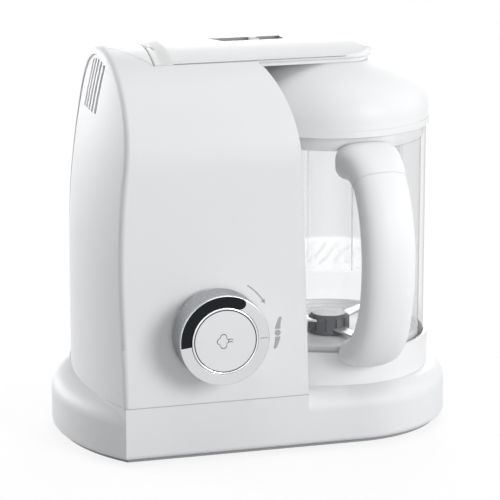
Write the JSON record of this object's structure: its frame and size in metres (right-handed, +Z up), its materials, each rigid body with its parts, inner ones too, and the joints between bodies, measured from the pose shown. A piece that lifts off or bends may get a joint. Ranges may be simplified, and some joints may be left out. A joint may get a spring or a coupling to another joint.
{
  "type": "baby food maker",
  "caption": "Counter-top steam cooker and blender with an arched tower, a clear jug with handle under a domed lid, a turn knob with a push button and vent slots.",
  "frame": {"origin": "centre of the part's bounding box in plan, on the worktop plane", "axes": "+Z up, +X from the tower to the jug, front along -Y"},
  "size_m": [0.257, 0.1836, 0.2511],
  "materials": {
    "white_shell": "satin gloss",
    "clear_jug": "clear",
    "frosted_basket": "translucent",
    "grey_rubber": "matte",
    "steel": "brushed",
    "tank_steel": "polished",
    "cast_alloy": "cast",
    "bronze": "machined",
    "motor_paint": "matte",
    "black_belt": "matte",
    "grey_nylon": "matte",
    "dark_plastic": "matte",
    "board_green": "matte",
    "silver_ring": "satin",
    "chrome_trim": "polished",
    "black_window": "gloss",
    "silver_face": "satin"
  },
  "bodies": {
    "housing": {"base_shell": "white_shell", "bottom_cover": "dark_plastic", "rubber_feet": "grey_rubber", "bottom_screws": "steel", "jug_collar": "white_shell", "front_panel": "white_shell", "rear_panel": "white_shell", "side_cover": "white_shell", "well_wall": "white_shell", "top_deck": "white_shell", "crown_cap": "white_shell", "hinge_pin": "steel", "motor_can": "motor_paint", "motor_bracket": "steel", "drive_belt": "black_belt", "spindle_bush": "bronze", "water_tank": "tank_steel", "tank_heater": "cast_alloy", "tank_thermostat": "dark_plastic", "steam_switch": "dark_plastic", "mode_switch": "dark_plastic", "knob_bezel": "white_shell", "control_board": "board_green", "cord_gland": "grey_rubber"},
    "lid": {"lid_plate": "white_shell", "lid_liner": "white_shell", "lid_dome": "white_shell", "jug_seal": "grey_rubber", "tank_seal": "grey_rubber", "steam_nozzle": "white_shell"},
    "latch": {"lid_latch": "white_shell"},
    "jug": {"jug_bowl": "clear_jug", "blade_seal": "grey_rubber", "jug_handle": "white_shell", "steam_basket": "frosted_basket"},
    "motor_rotor": {"motor_shaft": "steel", "drive_pulley": "cast_alloy"},
    "blade_drive": {"driven_pulley": "cast_alloy", "drive_spindle": "steel", "drive_coupling": "grey_nylon", "blades": "steel", "blade_hub": "grey_nylon"},
    "knob": {"knob_ring": "silver_ring", "knob_window": "black_window", "knob_sleeve": "white_shell"},
    "button": {"steam_button": "silver_face", "button_trim": "chrome_trim", "button_stem": "white_shell"}
  },
  "joints": [
    {"name": "lid_hinge", "type": "hinge", "parent": "housing", "child": "lid", "pos_m": [-0.067, 0.01683, 0.2472], "axis": [0, -1, 0], "range_deg": [0, 85]},
    {"name": "latch_slide", "type": "slide", "parent": "lid", "child": "latch", "axis": [-1, 0, 0], "range_m": [0, 0.008], "stiffness_N_per_m": 60},
    {"name": "jug_twist", "type": "hinge", "parent": "housing", "child": "jug", "pos_m": [0.054, 0.01683, 0], "axis": [0, 0, 1], "range_deg": [0, 25]},
    {"name": "motor_spin", "type": "hinge", "parent": "housing", "child": "motor_rotor", "pos_m": [-0.05, 0.03083, 0], "axis": [0, 0, 1], "continuous": true},
    {"name": "blade_spin", "type": "hinge", "parent": "housing", "child": "blade_drive", "pos_m": [0.054, 0.01683, 0], "axis": [0, 0, 1], "continuous": true},
    {"name": "knob_turn", "type": "hinge", "parent": "housing", "child": "knob", "pos_m": [-0.0425, 0.01683, 0.0829], "axis": [0, 1, 0], "range_deg": [0, 40], "stiffness_Nm_per_rad": 0.05},
    {"name": "button_press", "type": "slide", "parent": "housing", "child": "button", "axis": [0, 1, 0], "range_m": [0, 0.0025], "stiffness_N_per_m": 300}
  ],
  "couplings": [
    {"joint": "motor_spin", "follows": "blade_spin", "ratio": 3}
  ]
}
